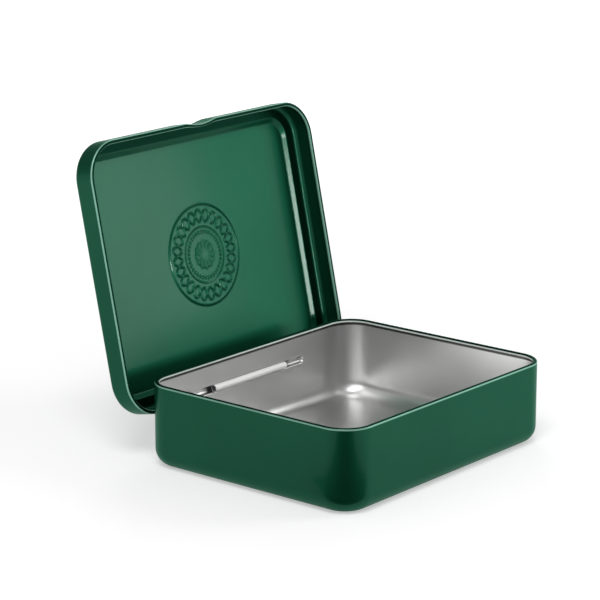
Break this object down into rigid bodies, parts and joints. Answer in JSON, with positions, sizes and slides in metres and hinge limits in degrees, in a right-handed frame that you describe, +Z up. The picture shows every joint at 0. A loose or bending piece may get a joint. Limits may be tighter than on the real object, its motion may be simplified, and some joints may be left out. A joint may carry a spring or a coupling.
{
  "type": "hinged tin box",
  "caption": "Rectangular steel tin with round corners, a slip lid on a rolled hinge in the back wall, and a bare steel inside; the lid leans open on its stop.",
  "frame": {"origin": "middle of the flat underside of the base", "axes": "+Z up, +Y towards the hinge side, +X along the hinge"},
  "size_m": [0.12, 0.1235, 0.1117],
  "materials": {
    "base_lacquer": "satin green lacquer outside and on the rolled rim, bare satin steel inside",
    "lid_lacquer": "satin green lacquer on both faces",
    "bare_steel": "bare satin tinplate",
    "pin_wire": "drawn steel wire"
  },
  "bodies": {
    "base": {"base_shell": "base_lacquer"},
    "lid": {"lid_shell": "lid_lacquer", "hinge_leaf": "bare_steel", "hinge_pin": "pin_wire"}
  },
  "joints": [
    {"name": "lid_hinge", "type": "hinge", "parent": "base", "child": "lid", "pos_m": [0, 0.0462, 0.0191], "axis": [1, 0, 0], "range_deg": [0, 102]}
  ]
}
